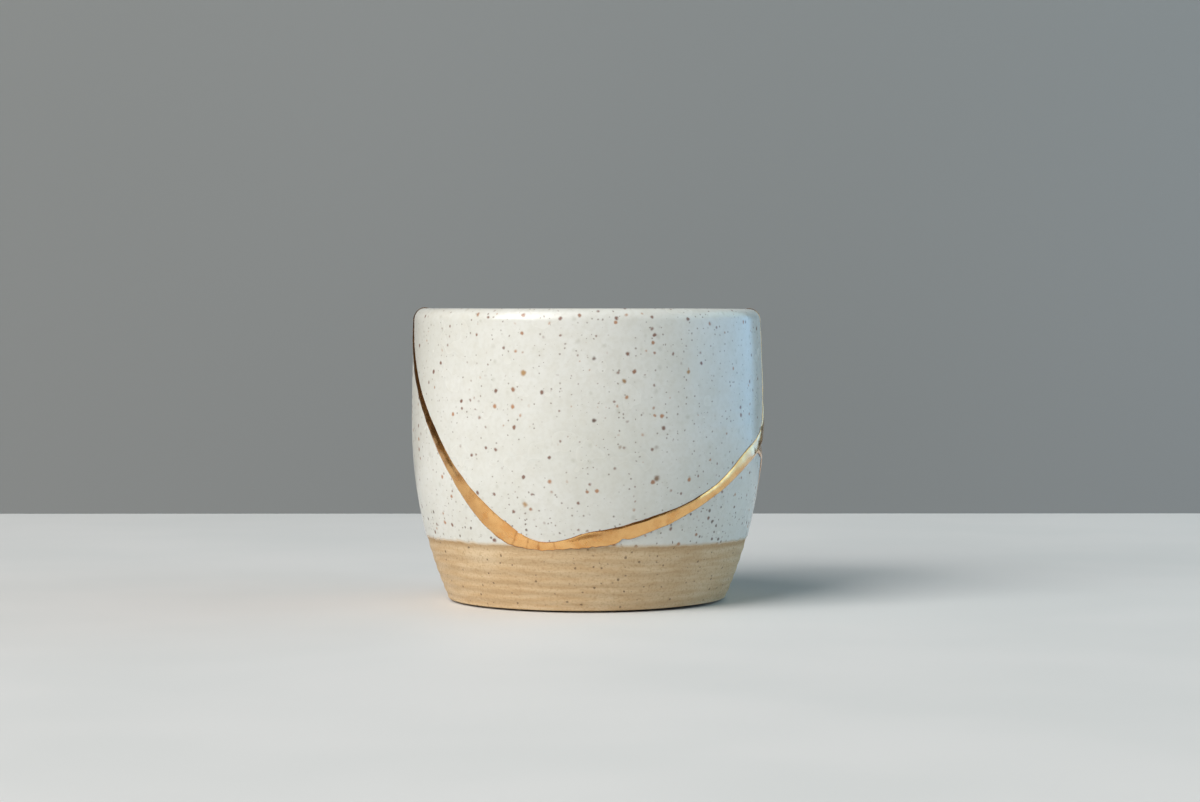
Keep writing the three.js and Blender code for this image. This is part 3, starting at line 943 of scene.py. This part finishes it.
def gold_lacquer():
    """Brown lacquer dusted with gold powder and burnished under a clear coat: a satin metal, a little
    uneven where the brush left it, with the lacquer showing where the powder thins out. The same lacquer
    tones are also painted into its creases as shade, and onto its left and its fork's end as dark
    reflections."""
    material, tree = new_material("gold_lacquer")
    where = node(tree, "TexCoord")["Object"]
    thin_and_painted_dark = node(tree, "Attribute", attribute_name="thin_gold_and_painted_dark")["Fac"]

    # Gold in two tones, deeper and then bare as it thins out, in an uneven line. The same orange-brown and
    # dark brown are also painted shade in the creases, and painted dark reflections on the left and at the
    # fork's end
    deeper = patches(tree, where, size=2.5, detail=3.0, low=0.35, high=0.7)
    gold = stained(tree, linear("#f3bc75"), linear("#e4a45b"), deeper)
    drift = node(tree, "TexNoise", {"Vector": where, "Scale": per_mm(0.8), "Detail": 2.0})["Fac"]
    centred = {0: drift, 1: GOLD_EDGE_WAVER, 2: -GOLD_EDGE_WAVER / 2}
    wander = node(tree, "Math", centred, operation="MULTIPLY_ADD")[0]
    uneven = node(tree, "Math", {0: thin_and_painted_dark, 1: wander}, operation="ADD")[0]
    worn = node(tree, "MapRange", {"Value": uneven, "From Min": 0.15, "From Max": 0.6}, **SOFTLY)["Result"]
    gold = stained(tree, gold, linear("#bd7a35"), worn)
    bare = node(tree, "MapRange", {"Value": uneven, "From Min": 0.55, "From Max": 0.85}, **SOFTLY)["Result"]
    colour = stained(tree, gold, linear("#4a2a14"), bare)
    metallic = node(tree, "Math", {0: 1.0, 1: bare}, operation="SUBTRACT")[0]
    roughness = patches(tree, where, size=2.5, detail=3.0, low=0.3, high=0.7, least=0.20, most=0.30)

    # Heights in millimetres: the brush's lumps and the powder's grains, drawn coarser so that they show
    brushed = node(tree, "TexNoise", {"Vector": where, "Scale": per_mm(2.5), "Detail": 3.0})["Fac"]
    powder = node(tree, "TexNoise", {"Vector": where, "Scale": per_mm(0.25), "Detail": 2.0})["Fac"]
    grains = node(tree, "Math", {0: powder, 1: POWDER_RELIEF}, operation="MULTIPLY")[0]
    height = node(tree, "Math", {0: brushed, 1: BRUSH_RELIEF, 2: grains}, operation="MULTIPLY_ADD")[0]
    normal = node(tree, "Bump", {"Height": height, "Distance": MM, "Strength": 1.0})[0]

    surface = {"Base Color": colour, "Metallic": metallic, "Roughness": roughness, "Normal": normal}
    clear_coat = {"Coat Weight": 1.0, "Coat Roughness": 0.12}
    shader = node(tree, "BsdfPrincipled", {**surface, **clear_coat})[0]
    node(tree, "OutputMaterial", {"Surface": shader})
    return material


def stage_material(name, first, second, size, detail, roughness):
    """A plain surface in two close tones, in patches that many millimetres wide."""
    material, tree = new_material(name)
    where = node(tree, "TexCoord")["Object"]
    cloud = patches(tree, where, size, detail, low=0.3, high=0.7)
    colour = stained(tree, linear(first), linear(second), cloud)
    shader = node(tree, "BsdfPrincipled", {"Base Color": colour, "Roughness": roughness})[0]
    node(tree, "OutputMaterial", {"Surface": shader})
    return material


def pale_tabletop():
    """Painted board: pale, smooth and only slightly shiny."""
    return stage_material("pale_tabletop", "#d7d6d5", "#d2d2d1", size=60, detail=2.0, roughness=0.6)


def grey_paper():
    """A sheet of background paper: matt mid grey."""
    return stage_material("grey_paper", "#989998", "#909291", size=700, detail=1.0, roughness=0.9)


# Pieces


def dress(piece, material, cad_node, sharp_degrees):
    """Gives a piece its material, and puts it in place of its solid."""
    piece.data.materials.clear()
    piece.data.materials.append(material)
    piece.data.shade_smooth()
    piece.data.set_sharp_from_angle(angle=math.radians(sharp_degrees))
    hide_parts(cad_node)
    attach(piece, "root")


stoneware = speckled_stoneware()
body, shard = broken_cup()
for piece in (body, shard):
    mark_glaze(piece)
dress(body, stoneware, "cup_body", STONEWARE_SHARP)
dress(shard, stoneware, "front_shard", STONEWARE_SHARP)
dress(gold_seam(), gold_lacquer(), "gold_seam", GOLD_SHARP)


# Stage, light and camera


def board(name, low, high, material):
    """A plain upright box between two corners, as part of the stage."""
    points = [(x, y, z) for z in (low[2], high[2]) for x, y in
              ((low[0], low[1]), (high[0], low[1]), (high[0], high[1]), (low[0], high[1]))]
    sides = ring_faces(2, 4, closed=False)
    made = mesh_object(name, points, [(3, 2, 1, 0), (4, 5, 6, 7), *sides])
    made.data.materials.append(material)


def soft_box(name, azimuth, elevation, distance, width, height, watts, colour):
    """A soft light aimed at the middle of the cup, which the camera doesn't see."""
    lamp = bpy.data.lights.new(name, "AREA")
    lamp.shape = "RECTANGLE"
    lamp.size = width * MM
    lamp.size_y = height * MM
    lamp.energy = watts
    lamp.color = linear(colour)[:3]
    made = bpy.data.objects.new(name, lamp)
    turn = math.radians(azimuth)
    rise = math.radians(elevation)
    toward = Vector((math.cos(rise) * math.sin(turn), -math.cos(rise) * math.cos(turn), math.sin(rise)))
    made.location = toward * distance * MM + Vector((0, 0, HEIGHT / 2 * MM))
    made.rotation_euler = (-toward).to_track_quat("-Z", "Y").to_euler()
    made.visible_camera = False
    bpy.context.scene.collection.objects.link(made)


def dim_room(strength):
    """A dim room, which the camera sees as the same plain grey all round."""
    world = bpy.data.worlds.new("dim_room")
    world.use_nodes = True
    tree = world.node_tree
    tree.nodes.clear()
    dim = node(tree, "Background", {"Color": linear("#ffd9ae"), "Strength": strength})[0]
    seen = node(tree, "Background", {"Color": linear("#828584")})[0]
    ray = node(tree, "LightPath")["Is Camera Ray"]
    both = node(tree, "MixShader", {0: ray, 1: dim, 2: seen})[0]
    node(tree, "OutputWorld", {"Surface": both})
    bpy.context.scene.world = world


def photo_camera():
    """A camera level with the rim, turned until the cup's axis and the eye level lie on their pixels."""
    focal_pixels = LENS / SENSOR * PHOTO_WIDTH
    eye = Vector((0, -EYE_DISTANCE, HEIGHT)) * MM
    right = (PHOTO_WIDTH / 2 - CUP_AXIS_PIXEL) / focal_pixels
    down = (PHOTO_HEIGHT / 2 - EYE_LEVEL_PIXEL) / focal_pixels
    lens = bpy.data.cameras.new("photo_camera")
    lens.lens = LENS
    lens.sensor_width = SENSOR
    lens.sensor_fit = "HORIZONTAL"
    lens.clip_start = NEAR_CLIP * MM
    camera = bpy.data.objects.new("photo_camera", lens)
    camera.location = eye
    camera.rotation_euler = Vector((right, 1, -down)).to_track_quat("-Z", "Y").to_euler()
    bpy.context.scene.collection.objects.link(camera)
    bpy.context.scene.camera = camera


table_low = (-TABLE_LEFT, -TABLE_FRONT, -TABLE_THICKNESS)
table_high = (TABLE_RIGHT, TABLE_BACK, 0)
paper_low = (-PAPER_LEFT, PAPER_BACK, -PAPER_HEIGHT)
paper_high = (PAPER_RIGHT, PAPER_BACK + PAPER_THICKNESS, PAPER_HEIGHT)
board("tabletop", table_low, table_high, pale_tabletop())
board("grey_paper", paper_low, paper_high, grey_paper())
for name, settings in SOFT_BOXES.items():
    soft_box(name, *settings)
dim_room(ROOM_STRENGTH)
photo_camera()
bpy.context.scene.view_settings.view_transform = "Standard"
